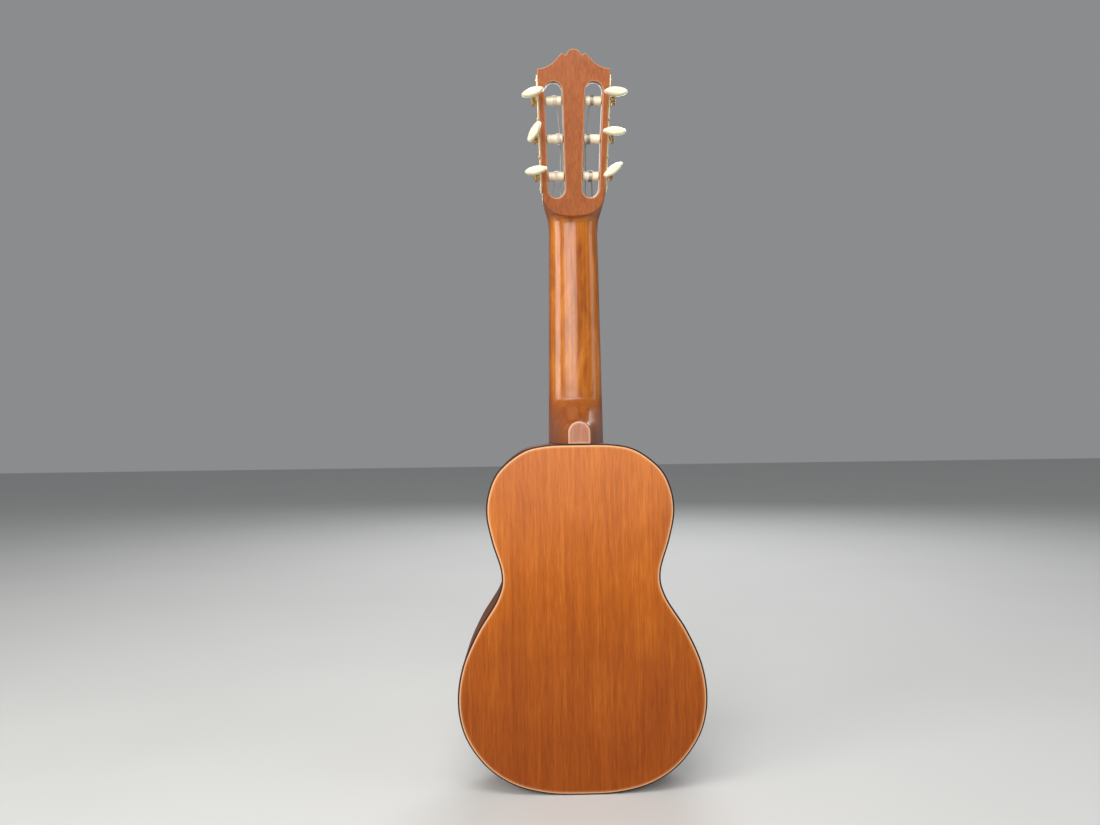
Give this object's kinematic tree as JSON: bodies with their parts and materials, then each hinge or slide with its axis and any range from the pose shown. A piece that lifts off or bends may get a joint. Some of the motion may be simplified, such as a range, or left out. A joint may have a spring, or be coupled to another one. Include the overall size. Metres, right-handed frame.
{
  "type": "small nylon-string guitar",
  "caption": "Small nylon-string guitar with a slotted head, geared side-plate tuners, a glossy neck and a flat satin back with a dark bound edge.",
  "frame": {"origin": "middle of the tail, on the lowest face of the body, half way between soundboard and back", "axes": "+Z from the tail to the head, +X to the treble side, soundboard facing -Y and back facing +Y"},
  "size_m": [0.2292, 0.0819, 0.6961],
  "materials": {
    "back_wood": "satin stained veneer with fine lengthwise pores",
    "rib_wood": "satin stained veneer",
    "top_wood": "satin spruce",
    "rosette_inlay": "flush ring under the finish",
    "binding": "gloss black",
    "inner_wood": "bare",
    "dark_wood": "oiled",
    "neck_wood": "gloss varnish over figured grain",
    "head_wood": "satin",
    "cap_wood": "satin",
    "nut_plastic": "satin white",
    "button_plastic": "polished cream",
    "roller_plastic": "satin cream",
    "brass": "plated and polished",
    "nylon_string": "clear nylon",
    "wound_string": "fine metal winding"
  },
  "bodies": {
    "guitar": {"back_plate": "back_wood", "top_plate": "top_wood", "rosette": "rosette_inlay", "rib_treble": "rib_wood", "rib_bass": "rib_wood", "tail_strip": "binding", "back_binding": "binding", "top_binding": "binding", "back_lining": "inner_wood", "top_lining": "inner_wood", "neck_block": "inner_wood", "tail_block": "inner_wood", "top_bar_upper": "inner_wood", "top_bar_lower": "inner_wood", "back_bar_upper": "inner_wood", "back_bar_middle": "inner_wood", "back_bar_lower": "inner_wood", "fan_strut_treble": "top_wood", "fan_strut_centre": "top_wood", "fan_strut_bass": "top_wood", "bridge": "dark_wood", "saddle": "nut_plastic", "neck": "neck_wood", "heel_cap": "cap_wood", "fingerboard": "dark_wood", "nut": "nut_plastic", "headstock": "head_wood", "tuner_plate_bass": "brass", "tuner_plate_treble": "brass", "string_bass_1": "wound_string", "string_bass_2": "wound_string", "string_bass_3": "wound_string", "string_treble_1": "nylon_string", "string_treble_2": "nylon_string", "string_treble_3": "nylon_string"},
    "peg_bass_1": {"button_bass_1": "button_plastic", "worm_bass_1": "brass"},
    "winder_bass_1": {"roller_bass_1": "roller_plastic", "gear_bass_1": "brass"},
    "peg_bass_2": {"button_bass_2": "button_plastic", "worm_bass_2": "brass"},
    "winder_bass_2": {"roller_bass_2": "roller_plastic", "gear_bass_2": "brass"},
    "peg_bass_3": {"button_bass_3": "button_plastic", "worm_bass_3": "brass"},
    "winder_bass_3": {"roller_bass_3": "roller_plastic", "gear_bass_3": "brass"},
    "peg_treble_1": {"button_treble_1": "button_plastic", "worm_treble_1": "brass"},
    "winder_treble_1": {"roller_treble_1": "roller_plastic", "gear_treble_1": "brass"},
    "peg_treble_2": {"button_treble_2": "button_plastic", "worm_treble_2": "brass"},
    "winder_treble_2": {"roller_treble_2": "roller_plastic", "gear_treble_2": "brass"},
    "peg_treble_3": {"button_treble_3": "button_plastic", "worm_treble_3": "brass"},
    "winder_treble_3": {"roller_treble_3": "roller_plastic", "gear_treble_3": "brass"}
  },
  "joints": [
    {"name": "turn_bass_1", "type": "hinge", "parent": "guitar", "child": "peg_bass_1", "pos_m": [-0.03674, 0.00167, 0.58383], "axis": [0, 0.965, -0.2622], "continuous": true},
    {"name": "wind_bass_1", "type": "hinge", "parent": "guitar", "child": "winder_bass_1", "pos_m": [-0.03156, -0.0153, 0.58238], "axis": [0.9996, 0.0078, 0.0288], "continuous": true},
    {"name": "turn_bass_2", "type": "hinge", "parent": "guitar", "child": "peg_bass_2", "pos_m": [-0.03778, 0.01084, 0.61759], "axis": [0, 0.965, -0.2622], "continuous": true},
    {"name": "wind_bass_2", "type": "hinge", "parent": "guitar", "child": "winder_bass_2", "pos_m": [-0.03261, -0.00613, 0.61614], "axis": [0.9996, 0.0078, 0.0288], "continuous": true},
    {"name": "turn_bass_3", "type": "hinge", "parent": "guitar", "child": "peg_bass_3", "pos_m": [-0.03883, 0.02002, 0.65135], "axis": [0, 0.965, -0.2622], "continuous": true},
    {"name": "wind_bass_3", "type": "hinge", "parent": "guitar", "child": "winder_bass_3", "pos_m": [-0.03365, 0.00304, 0.6499], "axis": [0.9996, 0.0078, 0.0288], "continuous": true},
    {"name": "turn_treble_1", "type": "hinge", "parent": "guitar", "child": "peg_treble_1", "pos_m": [0.03674, 0.00167, 0.58383], "axis": [0, 0.965, -0.2622], "continuous": true},
    {"name": "wind_treble_1", "type": "hinge", "parent": "guitar", "child": "winder_treble_1", "pos_m": [0.03156, -0.0153, 0.58238], "axis": [0.9996, -0.0078, -0.0288], "continuous": true},
    {"name": "turn_treble_2", "type": "hinge", "parent": "guitar", "child": "peg_treble_2", "pos_m": [0.03778, 0.01084, 0.61759], "axis": [0, 0.965, -0.2622], "continuous": true},
    {"name": "wind_treble_2", "type": "hinge", "parent": "guitar", "child": "winder_treble_2", "pos_m": [0.03261, -0.00613, 0.61614], "axis": [0.9996, -0.0078, -0.0288], "continuous": true},
    {"name": "turn_treble_3", "type": "hinge", "parent": "guitar", "child": "peg_treble_3", "pos_m": [0.03883, 0.02002, 0.65135], "axis": [0, 0.965, -0.2622], "continuous": true},
    {"name": "wind_treble_3", "type": "hinge", "parent": "guitar", "child": "winder_treble_3", "pos_m": [0.03365, 0.00304, 0.6499], "axis": [0.9996, -0.0078, -0.0288], "continuous": true}
  ],
  "couplings": [
    {"joint": "wind_bass_1", "follows": "turn_bass_1", "ratio": 0.071429},
    {"joint": "wind_bass_2", "follows": "turn_bass_2", "ratio": 0.071429},
    {"joint": "wind_bass_3", "follows": "turn_bass_3", "ratio": 0.071429},
    {"joint": "wind_treble_1", "follows": "turn_treble_1", "ratio": 0.071429},
    {"joint": "wind_treble_2", "follows": "turn_treble_2", "ratio": 0.071429},
    {"joint": "wind_treble_3", "follows": "turn_treble_3", "ratio": 0.071429}
  ]
}
